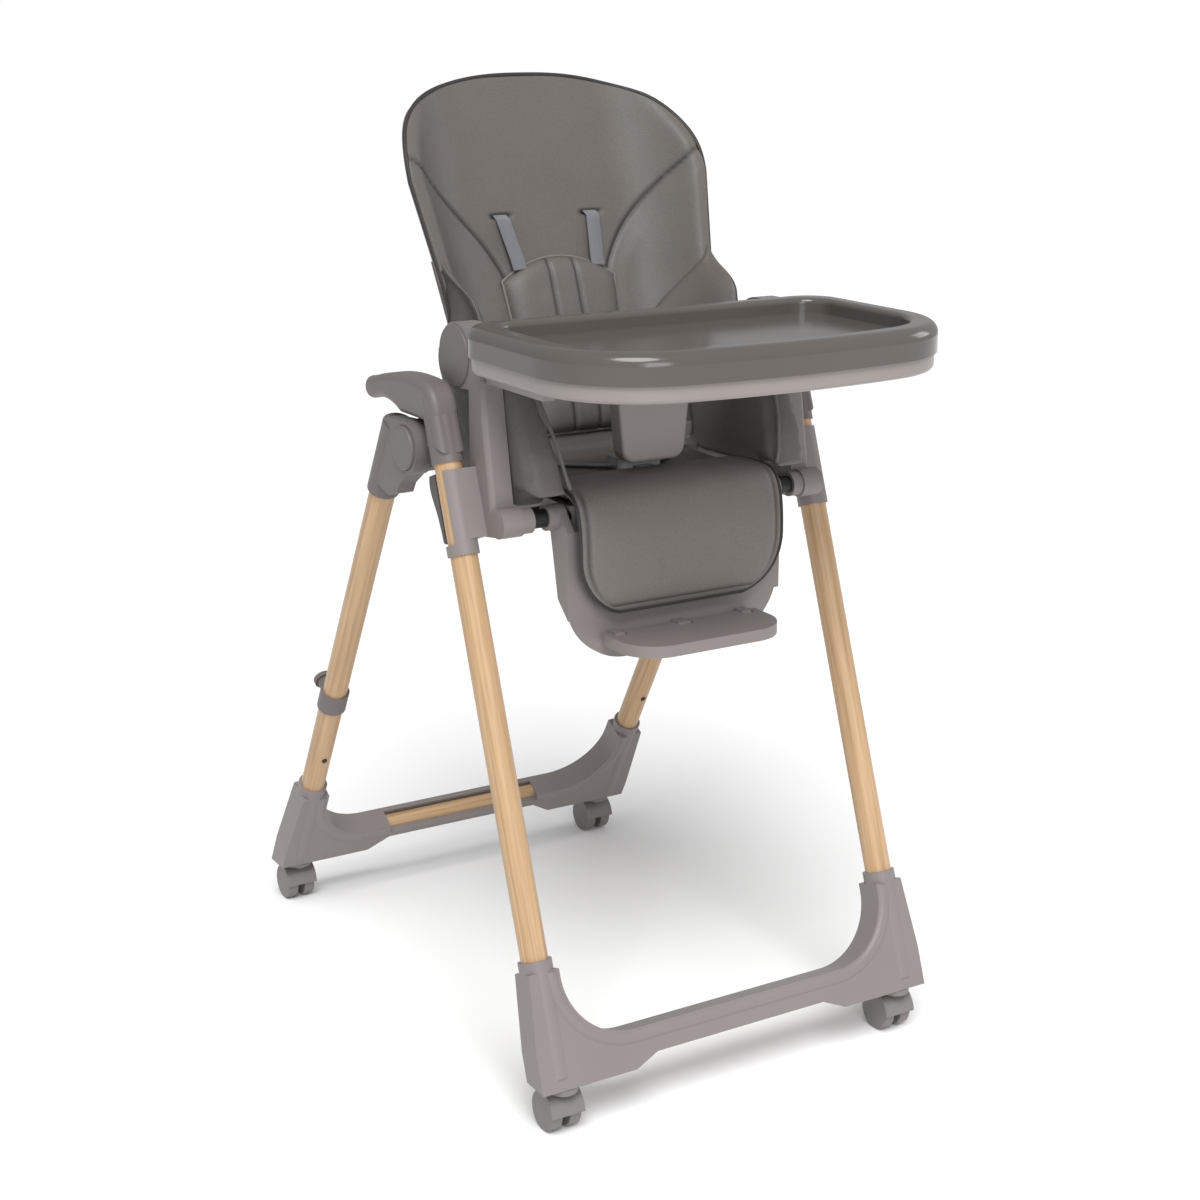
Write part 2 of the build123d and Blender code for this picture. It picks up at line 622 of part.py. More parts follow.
def front_outline(half_width, low, high, corner, taper=0.0):
    """Panel outline in (x, z): square top corners, round bottom corners, narrower towards the bottom."""
    foot = half_width - taper
    shape = polygon((-foot, low), (foot, low), (half_width, high), (-half_width, high))
    return fillet(shape.vertices().group_by(Axis.Y)[0], corner)


def legrest_panel():
    """Panel with side flanges that reach back to barrels on the front cross tube."""
    face = Plane.XZ.offset(-LEG_FRONT) * front_outline(LEG_HALF_WIDTH, *LEG_Z, 70, 6)
    panel = extrude(face, amount=-LEG_THICK)
    flank = polygon(
        (LEG_FRONT, LEG_Z[1]), (LEG_FRONT, 520), (LEG_FRONT + 22, 540), (-150, 620), (-160, 643), (-172, 636),
    )
    flank += Pos(*LEGREST_AXIS) * Circle(13)
    right = side_solid(flank, LEG_HALF_WIDTH - FLANGE, LEG_HALF_WIDTH)
    right += rod_x(LEG_HALF_WIDTH - FLANGE, LEG_HALF_WIDTH + 12, *LEGREST_AXIS, 14)
    y, z = FOOT_AXIS
    knuckle = Pos(y, z) * Circle(KNUCKLE_R)
    knuckle += polygon(
        (LEG_FRONT + 1, z - KNUCKLE_R), (LEG_FRONT + 1, z + KNUCKLE_R), (y, z + KNUCKLE_R), (y, z - KNUCKLE_R))
    right += side_solid(knuckle, *KNUCKLE_X)
    panel += right + left_of(right) + side_solid(knuckle, -8, 8)
    panel -= rod_x(-LEG_HALF_WIDTH - 13, LEG_HALF_WIDTH + 13, *LEGREST_AXIS, SEAT_TUBE_R + FIT)
    return panel - rod_x(-FOOT_HALF_WIDTH, FOOT_HALF_WIDTH, *FOOT_AXIS, FOOT_PIN_R + FIT)


def legrest_cushion():
    return extrude(Plane.XZ.offset(-LEG_FRONT + 0.3) * front_outline(126, 524, 615, 66), amount=15)


def footrest():
    """Tread that folds up against the legrest, with cut-outs round the panel's knuckles."""
    tread = polygon((-FOOT_HALF_WIDTH, FOOT_AXIS[0] + 5), (FOOT_HALF_WIDTH, FOOT_AXIS[0] + 5),
                    (FOOT_HALF_WIDTH, -272), (-FOOT_HALF_WIDTH, -272))
    tread = fillet(tread.vertices().group_by(Axis.Y)[0], 44)
    body = extrude(Plane.XY.offset(FOOT_AXIS[1] - 7) * tread, amount=13)
    for low, high in ((-8, 8), KNUCKLE_X, (-KNUCKLE_X[1], -KNUCKLE_X[0])):
        body -= box((low - 1, high + 1), (FOOT_AXIS[0] - KNUCKLE_R - 2, FOOT_AXIS[0] + 12), (480, 510))
    pin = rod_x(10 - FOOT_HALF_WIDTH, FOOT_HALF_WIDTH - 10, *FOOT_AXIS, FOOT_PIN_R)
    return body + pin


# ---------------------------------------------------------------- tray
def tray_outline(inset):
    """Plan of the tray: bowed front, large front corners, smaller back ones."""
    half, back, front = TRAY_HALF_WIDTH - inset, TRAY_BACK - inset, -HALF_DEPTH + inset
    shoulder = front + 28
    shape = make_face(
        Polyline((-half, shoulder), (-half, back), (half, back), (half, shoulder))
        + ThreePointArc((half, shoulder), (0, front), (-half, shoulder))
    )
    shape = fillet(shape.vertices().group_by(Axis.Y)[0], TRAY_FRONT_CORNER - inset)
    return fillet(shape.vertices().group_by(Axis.Y)[-1], TRAY_BACK_CORNER - inset / 2)


def level_prism(outline, z_from, z_to):
    return extrude(Plane.XY.offset(z_from) * outline, amount=z_to - z_from)


POST_Y = (-142.0, -121.0)
POST_BOTTOM_Z = 672.0


def tray_base():
    """Lower tray with its two arms, and the crotch post under its back edge."""
    base = level_prism(tray_outline(3), TRAY_BASE_Z, TRAY_SPLIT_Z - 0.2)
    base = fillet(base.faces().sort_by(Axis.Z)[0].edges(), 5)
    base -= level_prism(tray_outline(9), TRAY_BASE_Z + 4, TRAY_SPLIT_Z)
    post = polygon((-39, POST_BOTTOM_Z), (39, POST_BOTTOM_Z), (51, TRAY_BASE_Z + 2), (-51, TRAY_BASE_Z + 2))
    post = fillet(post.vertices().group_by(Axis.Y)[0], 16)
    post = extrude(Plane.XZ.offset(-POST_Y[0]) * post, amount=POST_Y[0] - POST_Y[1])
    base += fillet(post.faces().sort_by(Axis.Y)[0].edges(), 4)
    for low, high in (ARM_X, (-ARM_X[1], -ARM_X[0])):
        base += box((low, high), (-250, -56), (ARM_Z[0], ARM_Z[1]))
        base += box((low, high), (-250, -130), (ARM_Z[0], TRAY_BASE_Z + 2))
    return base - box((-28.5, 28.5), (-392.5, -371.5), (TRAY_BASE_Z - 2, TRAY_BASE_Z + 6))


def tray_insert():
    """Upper tray that lifts off: a thick rounded rim round a shallow well, hollow underneath."""
    rim = level_prism(tray_outline(0), TRAY_SPLIT_Z, TRAY_TOP_Z)
    rim = fillet(rim.faces().sort_by(Axis.Z)[-1].edges(), 13)
    well = level_prism(tray_outline(29), TRAY_TOP_Z - 17, TRAY_TOP_Z + 1)
    rim -= well
    rim = fillet(rim.faces().sort_by(Axis.Z)[-1].inner_wires()[0].edges(), 6)
    groove = level_prism(tray_outline(5) - tray_outline(25), TRAY_SPLIT_Z - 1, TRAY_TOP_Z - 15)
    return rim - groove


def tray_button():
    """Release pad in the underside of the tray's front."""
    return box((-28, 28), (-392, -372), (TRAY_BASE_Z - 1.5, TRAY_BASE_Z + 3.5))


def hub_screws():
    """Two screw heads on each hub's inner face."""
    heads = []
    for y, z in ((-42, 752), (25, 752)):
        right = rod_x(HUB_X[0] - 1.2, HUB_X[0], y, z, 4)
        heads += [right, left_of(right)]
    return heads


CASTERS = {
    "front_left": (-FRONT_CASTER[0], FRONT_CASTER[1]),
    "front_right": FRONT_CASTER,
    "rear_left": (-REAR_CASTER[0], REAR_CASTER[1]),
    "rear_right": REAR_CASTER,
}


def main():
    os.makedirs("parts", exist_ok=True)
    save("front_foot_bar", foot_bar(FRONT_FOOT_Y, FRONT_LEAN, FRONT_LEG_X, *FRONT_BAR_Z, FRONT_CASTER))
    rear_bar, rear_tube = rear_foot_parts()
    save("rear_foot_bar", rear_bar)
    save("rear_cross_tube", rear_tube)

    low = front_t(FRONT_BAR_Z[1]) + STUB_RAISE
    stub, tube, button = leg_parts(FRONT_RIGHT, low, front_t(FRONT_SEAM_Z), front_t(FRONT_TUBE_TOP_Z), 1)
    save_both("front_leg_stubs", stub)
    save_pair("front_leg_tube", tube)
    save_both("front_snap_buttons", button)
    low = rear_t(REAR_BAR_Z[1]) + STUB_RAISE
    stub, tube, button = leg_parts(REAR_RIGHT, low, rear_t(REAR_SEAM_Z), rear_t(REAR_TUBE_TOP_Z), -1)
    save_both("rear_leg_stubs", stub)
    save_pair("rear_leg_tube", tube)
    save_both("rear_snap_buttons", button)

    save_pair("hub", hub())
    save("hub_screws", *hub_screws())
    save_pair("rear_leg_bracket", rear_bracket())
    save_pair("fold_button", fold_button())
    save_both("fold_pivot_pins", pivot_pin())
    save_both("tray_hooks", tray_hook())

    for place, (x, y) in CASTERS.items():
        save(f"caster_fork_{place}", caster_fork(x, y, place.startswith("rear")))
        save(f"caster_wheels_{place}", caster_wheels(x, y))
    save_pair("brake_lever", brake_lever(*REAR_CASTER))

    save_pair("side_column", side_column())
    save_both("armrest_caps", armrest_cap())
    save_pair("slider", slider())
    save_pair("height_lever", height_lever())
    save("seat_cross_tubes", seat_tube(*LEGREST_AXIS), seat_tube(*REAR_TUBE))
    save("seat_pan", seat_pan())
    save("backrest_hinge_pin", backrest_pin())
    save("seat_cushion", seat_cushion())
    save_pair("seat_side_pad", seat_side_pad())
    save_both("lap_straps", lap_strap())
    save("crotch_strap", crotch_strap())
    save("buckle", buckle())
    save("buckle_button", buckle_button())

    save("backrest_shell", backrest_shell())
    save("recline_handle", recline_handle())
    save("backrest_cushion", backrest_cushion())
    save_both("backrest_wings", back_wing())
    save("insert_pad", insert_pad())
    save_both("shoulder_straps", shoulder_strap())

    save("legrest_panel", legrest_panel())
    save("legrest_cushion", legrest_cushion())
    save("footrest", footrest())

    save("tray_base", tray_base())
    save("tray_insert", tray_insert())
    save("tray_release_button", tray_button())


main()
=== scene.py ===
"""Looks of a folding baby high chair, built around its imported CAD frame.

Covers, pads and straps are drawn in mm and become metres in Sheet.point.
"""
import math

import bmesh
import bpy
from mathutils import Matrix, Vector, noise


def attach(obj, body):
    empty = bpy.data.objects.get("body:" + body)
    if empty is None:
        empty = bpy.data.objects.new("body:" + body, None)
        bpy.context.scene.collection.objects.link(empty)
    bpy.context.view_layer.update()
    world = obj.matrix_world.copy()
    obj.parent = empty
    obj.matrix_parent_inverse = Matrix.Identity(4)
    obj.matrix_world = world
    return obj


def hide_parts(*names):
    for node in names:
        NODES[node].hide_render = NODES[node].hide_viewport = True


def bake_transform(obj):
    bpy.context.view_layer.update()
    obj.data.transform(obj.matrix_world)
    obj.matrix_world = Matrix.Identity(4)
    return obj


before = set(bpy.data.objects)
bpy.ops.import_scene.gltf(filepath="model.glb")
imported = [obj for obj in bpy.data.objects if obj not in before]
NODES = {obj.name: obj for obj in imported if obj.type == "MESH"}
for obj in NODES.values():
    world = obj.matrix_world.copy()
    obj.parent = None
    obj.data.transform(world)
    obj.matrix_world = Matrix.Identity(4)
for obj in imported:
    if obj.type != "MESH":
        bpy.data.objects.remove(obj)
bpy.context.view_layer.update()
MM = 0.001
SIDES = ((-1, "left"), (1, "right"))

# The backrest's own frame, in mm: x across, v up along it, w forward out of it.
BACK_LEAN = math.radians(20)
BACK_ORIGIN = Vector((0, -3.3, 640))
BACK_UP = Vector((0, math.sin(BACK_LEAN), math.cos(BACK_LEAN)))
BACK_FRONT = Vector((0, -math.cos(BACK_LEAN), math.sin(BACK_LEAN)))
HALF_WIDTH, FOOT_HALF_WIDTH = 195.0, 150.0
FOOT_V, WIDEST_V, TOP_V = 22.0, 330.0, 468.0
ROUNDNESS = 2.5

# Its sides sweep forward from a flat middle: x where that starts, height at the side, and the curve's power.
FLAT_HALF_WIDTH, SWEEP_HEIGHT, SWEEP_POWER = 105.0, 76.0, 1.75
SWEEP_START_BLEND, EDGE_SOFTNESS = 30.0, 3.5
# Height of the cover's rim at places up the backrest.
RIM = ((22, 1), (140, 3), (166, 50), (205, 57), (362, 56), (486, 2))
# The bolster's seam: x at its foot, v where it turns out, how far out it gets, and within which rise.
SEAM_X, SEAM_TURN_V, SEAM_SPREAD, SEAM_RISE = 62, 190, 128, 168
# Slots for the shoulder straps.
SLOT_X, SLOT_V = 60, 300
# Lower side pads of the backrest: where they start and end, and v up to which they stand furthest forward.
WING_FOOT_V, WING_TOP_V, WING_FORWARD_V = 158.0, 243.0, 170.0
# Insert pad: foot, arched top, half width at the foot, and x of its two channels.
INSERT_FOOT_V, INSERT_TOP_V, INSERT_HALF_WIDTH, CHANNEL_X = 42, 249, 59, 17

# Flap between seat and backrest, from front to back: y, z and half width.
FLAP_PATH = ((-34, 658.5, 128), (-18, 660.5, 130), (-4, 661, 133), (3, 664, 137), (6, 670, 142),
             (10, 680, 146))

# Legrest cover: its course from the seat's edge down (y, z), half width, and where its lower corners start.
LEG_PATH = ((-112, 660), (-150, 662), (-176, 661), (-192, 652), (-201, 634), (-205, 610), (-206, 575),
            (-206, 548), (-204, 526))
LEG_FOOT_Z = LEG_PATH[-1][1]
LEG_HALF_WIDTH, LEG_CORNER, LEG_CORNER_Z = 130, 66, 590
# How far inside its edge the welt runs.
WELT_INSET = 9

# Simulated cushions, in metres and in the cloth solver's own units.
VOXEL, PRESSURE, CLOTH_STEPS = 0.005, 4.0, 20

FLOOR_HALF_MM, FLOOR_CELLS = 6000, 32
WORLD_STRENGTH, SUN_STRENGTH, SUN_SPREAD = 0.45, 2.7, math.radians(35)
CAMERA_PLACE, CAMERA_AIM, LENS_MM = (-1.1722, -1.9943, 1.1430), (0, -0.024, 0.4834), 60.8


# ---------------------------------------------------------------- small helpers
def srgb(r, g, b):
    """Linear colour of an 8-bit sRGB one."""
    return tuple((c / 12.92 if c <= 0.04045 else ((c + 0.055) / 1.055) ** 2.4)
                 for c in (r / 255, g / 255, b / 255)) + (1.0,)


def smooth_min(a, b, softness):
    """The smaller of two heights, with the crease between them rounded off."""
    return -softness * math.log(math.exp(-a / softness) + math.exp(-b / softness))


def smooth_step(low, high, value):
    """Rises from 0 to 1 as the value goes from low to high, which may be the smaller of the two."""
    t = min(1.0, max(0.0, (value - low) / (high - low)))
    return t * t * (3 - 2 * t)


def linear(table, value):
    """Interpolation in a short table of (place, height) pairs, level beyond its ends."""
    for (a, low), (b, high) in zip(table, table[1:]):
        if value <= b:
            return low + (high - low) * max(0.0, (value - a) / (b - a))
    return table[-1][1]


def rounded(table, value, reach):
    """Interpolation whose corners are rounded by averaging over this reach to each side."""
    steps = 8
    return sum(linear(table, value + reach * i / steps) for i in range(-steps, steps + 1)) / (2 * steps + 1)


def straight_steps(points, count):
    """Even steps along a line of straight pieces between vectors."""
    line = []
    for i in range(count + 1):
        t = i / count * (len(points) - 1)
        k = min(int(t), len(points) - 2)
        line.append(points[k].lerp(points[k + 1], t - k))
    return line


def curved_steps(points, count):
    """Even steps along a smooth curve (Catmull-Rom) through vectors."""
    line = []
    for i in range(count + 1):
        t = i / count * (len(points) - 1)
        k = min(int(t), len(points) - 2)
        u = t - k
        a, b = points[k], points[k + 1]
        before, after = points[max(k - 1, 0)], points[min(k + 2, len(points) - 1)]
        line.append(a + 0.5 * ((b - before) * u + (2 * before - 5 * a + 4 * b - after) * u ** 2
                               + (3 * a - 3 * b + after - before) * u ** 3))
    return line


class Sheet:
    """Collects points, faces and a painted-shade value per point, and becomes one mesh object."""

    def __init__(self):
        self.points, self.seams, self.faces, self.slots = [], [], [], []

    def point(self, place_mm, seam=0.0):
        """Adds a point given in mm, with how much painted shade darkens it, and returns its number."""
        self.points.append(Vector(place_mm) * MM)
        self.seams.append(seam)
        return len(self.points) - 1

    def grid(self, rows, slot=0, closed=False):
        """Quads between rows of point indices; closed joins each row's end to its start."""
        for low, high in zip(rows, rows[1:]):
            count = len(low)
            for i in range(count if closed else count - 1):
                j = (i + 1) % count
                self.faces.append((low[i], low[j], high[j], high[i]))
                self.slots.append(slot)

    def tube(self, path_mm, radius_mm, slot=1, closed=False):
        """Round piping along a path."""
        sides = 8
        turns = [2 * math.pi * k / sides for k in range(sides)]
        path = [Vector(p) for p in path_mm]
        count = len(path)
        rows = []
        normal = None
        for i, centre in enumerate(path):
            before = path[i - 1] if i > 0 or closed else centre
            after = path[(i + 1) % count] if i < count - 1 or closed else centre
            along = (after - before).normalized()
            if normal is None:
                normal = along.orthogonal().normalized()
            normal = (normal - along * normal.dot(along)).normalized()
            side = along.cross(normal)
            rows.append([self.point(centre + radius_mm * (math.cos(a) * normal + math.sin(a) * side))
                         for a in turns])
        if closed:
            rows.append(rows[0])
        else:
            self.faces += [tuple(rows[0]), tuple(reversed(rows[-1]))]
            self.slots += [slot, slot]
        self.grid(rows, slot, closed=True)

    def places(self, indices):
        """Where these points are, in mm."""
        return [self.points[i] / MM for i in indices]

    def build(self, name, materials):
        """One smooth object, with its doubled points merged and the painted-shade values kept as an
        attribute.
        """
        mesh = bpy.data.meshes.new(name)
        mesh.from_pydata([tuple(p) for p in self.points], [], self.faces)
        # Per-point painted shade, which the leather materials darken by.
        attribute = mesh.attributes.new("seam", "FLOAT", "POINT")
        attribute.data.foreach_set("value", self.seams)
        for material in materials:
            mesh.materials.append(material)
        mesh.polygons.foreach_set("material_index", self.slots)
        work = bmesh.new()
        work.from_mesh(mesh)
        bmesh.ops.remove_doubles(work, verts=work.verts, dist=2e-5)
        bmesh.ops.dissolve_degenerate(work, edges=work.edges, dist=1e-6)
        bmesh.ops.recalc_face_normals(work, faces=work.faces)
        for face in work.faces:
            face.smooth = True
        work.to_mesh(mesh)
        work.free()
        piece = bpy.data.objects.new(name, mesh)
        bpy.context.scene.collection.objects.link(piece)
        return piece


def close_pad(sheet, rows, under):
    """Joins a pad's top and underside grids all round, and returns the top's outline."""
    def outline(grid):
        right = [row[-1] for row in grid[1:]]
        left = [row[0] for row in grid[-2:0:-1]]
        return grid[0] + right + grid[-1][-2::-1] + left

    sheet.grid(rows)
    sheet.grid([list(reversed(row)) for row in under])
    sheet.grid([outline(under), outline(rows)], closed=True)
    return outline(rows)


# ---------------------------------------------------------------- materials
class Nodes:
    """Short way to wire a material's nodes."""

    def __init__(self, name):
        self.material = bpy.data.materials.new(name)
        self.material.use_nodes = True
        self.tree = self.material.node_tree
        self.shader = self.tree.nodes["Principled BSDF"]
        self.coords = self.add("ShaderNodeTexCoord").outputs["Object"]

    def add(self, kind, **settings):
        """A new node, with each setting put on the socket or the property of that name."""
        node = self.tree.nodes.new(kind)
        for key, value in settings.items():
            if key in node.inputs:
                node.inputs[key].default_value = value
            else:
                setattr(node, key, value)
        return node

    def link(self, start, end):
        self.tree.links.new(start, end)

    def noise(self, scale, detail, stretch=None, turn=(0, 0, 0), roughness=0.5):
        """Noise in the object's own coordinates, turned and then stretched if asked."""
        node = self.add("ShaderNodeTexNoise", Scale=scale, Detail=detail, Roughness=roughness)
        source = self.coords
        if stretch:
            mapping = self.add("ShaderNodeMapping")
            mapping.inputs["Rotation"].default_value = turn
            self.link(source, mapping.inputs["Vector"])
            stretched = self.add("ShaderNodeVectorMath", operation="MULTIPLY")
            stretched.inputs[1].default_value = stretch
            self.link(mapping.outputs["Vector"], stretched.inputs[0])
            source = stretched.outputs["Vector"]
        self.link(source, node.inputs["Vector"])
        return node.outputs["Fac"]

    def ramp(self, factor, *stops):
        """Colour ramp with (place, colour) stops."""
        node = self.add("ShaderNodeValToRGB")
        elements = node.color_ramp.elements
        while len(elements) < len(stops):
            elements.new(0.5)
        for element, (place, colour) in zip(elements, stops):
            element.position = place
            element.color = colour
        self.link(factor, node.inputs["Fac"])
        return node.outputs["Color"]

    def spread(self, factor, low, high):
        """Maps a factor from 0..1 to low..high."""
        node = self.add("ShaderNodeMapRange")
        node.inputs["To Min"].default_value = low
        node.inputs["To Max"].default_value = high
        self.link(factor, node.inputs["Value"])
        return node.outputs["Result"]

    def mix(self, factor, a, b):
        """Mixes two colours, each a value or another node's output."""
        node = self.add("ShaderNodeMix", data_type="RGBA")
        for socket, value in (("A", a), ("B", b)):
            target = [s for s in node.inputs if s.name == socket and s.type == "RGBA"][0]
            if isinstance(value, tuple):
                target.default_value = value
            else:
                self.link(value, target)
        self.link(factor, node.inputs["Factor"])
        return [s for s in node.outputs if s.type == "RGBA"][0]

    def bump(self, *layers):
        """Bumps on top of each other, as (height, strength, distance) layers."""
        last = None
        for height, strength, distance in layers:
            node = self.add("ShaderNodeBump", Strength=strength, Distance=distance)
            self.link(height, node.inputs["Height"])
            if last:
                self.link(last, node.inputs["Normal"])
            last = node.outputs["Normal"]
        self.link(last, self.shader.inputs["Normal"])

    def finish(self, colour, roughness):
        """Links colour and roughness to the shader and returns the material."""
        self.link(colour, self.shader.inputs["Base Color"])
        self.link(roughness, self.shader.inputs["Roughness"])
        return self.material


def moulded_plastic(name, colour, worn, rough=(0.38, 0.52), grain=0.10):
    """Fine-grained moulding with faint cloudiness and slightly lighter rubbed patches."""
    n = Nodes(name)
    clouds = n.noise(9, 4)
    fine = n.noise(1500, 2)
    rub = n.noise(35, 6)
    base = n.mix(n.spread(clouds, 0.0, 0.55), colour, worn)
    base = n.mix(n.spread(rub, 0.0, 0.10), base, worn)
    n.bump((fine, grain, 0.0003), (clouds, 0.05, 0.002))
    n.shader.inputs["Specular IOR Level"].default_value = 0.45
    return n.finish(base, n.spread(rub, *rough))


def wood_look(name, turn):
    """Light oak print with its grain along the tube, which this turn brings upright."""
    n = Nodes(name)
    streaks = n.noise(1, 5, stretch=(240, 240, 5), turn=turn, roughness=0.62)
    bands = n.noise(1, 3, stretch=(70, 70, 2.2), turn=turn)
    pores = n.noise(1, 2, stretch=(900, 900, 22), turn=turn)
    light, middle, dark = srgb(206, 174, 136), srgb(184, 150, 112), srgb(140, 106, 72)
    base = n.ramp(streaks, (0.30, dark), (0.50, middle), (0.68, light))
    base = n.mix(n.spread(bands, 0.0, 0.75), base, srgb(196, 163, 125))
    base = n.mix(n.spread(pores, 0.0, 0.22), base, srgb(122, 90, 60))
    n.bump((streaks, 0.12, 0.0004), (pores, 0.10, 0.0002))
    n.shader.inputs["Coat Weight"].default_value = 0.25
    n.shader.inputs["Coat Roughness"].default_value = 0.3
    return n.finish(base, n.spread(streaks, 0.38, 0.55))


def soft_leather(name, colour, light, dark):
    """Imitation leather: pebble grain, faint creases, and painted shade in seam grooves, slots and along pad
    edges where the mesh says so.
    """
    n = Nodes(name)
    cells = n.add("ShaderNodeTexVoronoi", Scale=620.0)
    n.link(n.coords, cells.inputs["Vector"])
    patches = n.noise(14, 5)
    creases = n.noise(60, 6, roughness=0.6)
    base = n.mix(n.spread(patches, 0.0, 0.7), colour, light)
    base = n.mix(n.spread(cells.outputs["Distance"], 0.0, 0.25), base, dark)
    # Painted shade: the mesh's per-point value darkens the leather towards its dark colour.
    seam = n.add("ShaderNodeAttribute", attribute_name="seam")
    base = n.mix(seam.outputs["Fac"], base, dark)
    n.bump((cells.outputs["Distance"], 0.22, 0.0004), (creases, 0.12, 0.0012))
    n.shader.inputs["Specular IOR Level"].default_value = 0.4
    return n.finish(base, n.spread(creases, 0.42, 0.62))


def webbing(name, colour, light, across):
    """Woven strap with fine threads, and ribs that run across this direction."""
    n = Nodes(name)
    ribs = n.add("ShaderNodeTexWave", Scale=420.0, Distortion=0.6, bands_direction=across)
    n.link(n.coords, ribs.inputs["Vector"])
    threads = n.noise(1400, 3)
    base = n.mix(n.spread(ribs.outputs["Fac"], 0.0, 0.8), colour, light)
    base = n.mix(n.spread(threads, 0.0, 0.4), base, light)
    n.bump((ribs.outputs["Fac"], 0.5, 0.0005), (threads, 0.3, 0.0003))
    n.shader.inputs["Sheen Weight"].default_value = 0.3
    return n.finish(base, n.spread(threads, 0.75, 0.95))


def metal(name, colour, rough):
    """Metal brushed along x, with slightly darker streaks."""
    n = Nodes(name)
    brushed = n.noise(1, 4, stretch=(40, 900, 900))
    darker = tuple(0.8 * c for c in colour[:3]) + (1.0,)
    base = n.mix(n.spread(brushed, 0.0, 0.5), colour, darker)
    n.shader.inputs["Metallic"].default_value = 0.9
    n.bump((brushed, 0.08, 0.0002))
    return n.finish(base, n.spread(brushed, rough - 0.06, rough + 0.08))


FRAME_GREY = moulded_plastic("frame_grey", srgb(124, 117, 115), srgb(138, 132, 129))
FOOT_GREY = moulded_plastic("foot_grey", srgb(124, 117, 116), srgb(136, 130, 128), grain=0.16)
HUB_GREY = moulded_plastic("hub_grey", srgb(100, 94, 93), srgb(116, 110, 108))
TRAY_GREY = moulded_plastic("tray_grey", srgb(86, 81, 77), srgb(96, 91, 87), rough=(0.13, 0.2), grain=0.02)
TRAY_BASE_GREY = moulded_plastic("tray_base_grey", srgb(138, 131, 128), srgb(152, 146, 143),
                                 rough=(0.25, 0.36))
WHEEL_GREY = moulded_plastic("wheel_grey", srgb(112, 107, 107), srgb(134, 129, 129),
                             rough=(0.42, 0.6), grain=0.2)
DARK_PLASTIC = moulded_plastic("dark_plastic", srgb(70, 66, 64), srgb(84, 80, 77))
BUCKLE_GREY = moulded_plastic("buckle_grey", srgb(150, 151, 153), srgb(170, 171, 173), rough=(0.3, 0.45))
FRONT_WOOD = wood_look("front_oak", (math.radians(19.75), 0, 0))
REAR_WOOD = wood_look("rear_oak", (math.radians(-29.3), 0, 0))
CROSS_WOOD = wood_look("cross_oak", (0, math.pi / 2, 0))
# The last colour of each leather serves both its grain pits and its painted shade.
LEATHER = soft_leather("seat_leather", srgb(100, 95, 91), srgb(112, 107, 103), srgb(36, 33, 31))
# Painted light: the legrest's leather is a lighter copy of the seat leather, for the upward-facing pad.
LIT_LEG_LEATHER = soft_leather("lit_legrest_leather", srgb(116, 110, 106), srgb(128, 122, 117), srgb(44, 40, 38))
PIPING = soft_leather("piping_leather", srgb(48, 45, 43), srgb(60, 56, 54), srgb(30, 28, 27))
LIGHT_PIPING = soft_leather("light_piping", srgb(116, 110, 106), srgb(130, 124, 119), srgb(60, 56, 54))
STRAP = webbing("strap_webbing", srgb(84, 84, 89), srgb(134, 135, 141), "Z")
LAP_WEB = webbing("lap_webbing", srgb(72, 72, 76), srgb(104, 104, 109), "DIAGONAL")
STEEL = metal("steel", (0.55, 0.55, 0.57, 1.0), 0.32)
DARK_STEEL = metal("dark_steel", (0.05, 0.05, 0.052, 1.0), 0.42)

NODES_IN = {
    FOOT_GREY: ["front_foot_bar", "rear_foot_bar"],
    HUB_GREY: ["hub_left", "hub_right", "rear_leg_bracket_left", "rear_leg_bracket_right",
               "fold_button_left", "fold_button_right", "tray_hooks", "armrest_caps"],
    FRAME_GREY: ["side_column_left", "side_column_right", "slider_left", "slider_right", "seat_pan",
                 "backrest_shell", "legrest_panel", "footrest"],
    TRAY_GREY: ["tray_insert"],
    TRAY_BASE_GREY: ["tray_base", "tray_release_button"],
    WHEEL_GREY: [name for name in NODES if name.startswith(("caster_", "brake_lever"))],
    DARK_PLASTIC: ["height_lever_left", "height_lever_right", "recline_handle", "buckle_button"],
    BUCKLE_GREY: ["buckle"],
    FRONT_WOOD: ["front_leg_stubs", "front_leg_tube_left", "front_leg_tube_right"],
    REAR_WOOD: ["rear_leg_stubs", "rear_leg_tube_left", "rear_leg_tube_right"],
    CROSS_WOOD: ["rear_cross_tube"],
    STEEL: ["hub_screws", "fold_pivot_pins", "backrest_hinge_pin"],
    DARK_STEEL: ["seat_cross_tubes", "front_snap_buttons", "rear_snap_buttons"],
}


def dress_frame():
    """Every CAD node that stays visible gets its material."""
    for material, names in NODES_IN.items():
        for name in names:
            mesh = NODES[name].data
            mesh.materials.clear()
            mesh.materials.append(material)


def fit_cover(cover, node, body):
    """Puts a padded cover in place of a CAD node, on that body."""
    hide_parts(node)
    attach(cover, body)


# ---------------------------------------------------------------- backrest
def back_place(x, v, w):
    """A point of the backrest's own frame, in mm in the row frame."""
    return BACK_ORIGIN + Vector((x, 0, 0)) + v * BACK_UP + w * BACK_FRONT


def back_half_width(v):
    """Half the backrest's width: straight up to its widest place, and round above."""
    if v <= WIDEST_V:
        return FOOT_HALF_WIDTH + (v - FOOT_V) / (WIDEST_V - FOOT_V) * (HALF_WIDTH - FOOT_HALF_WIDTH)
    share = min(1.0, (v - WIDEST_V) / (TOP_V - WIDEST_V))
    return HALF_WIDTH * (1 - share ** ROUNDNESS) ** (1 / ROUNDNESS)


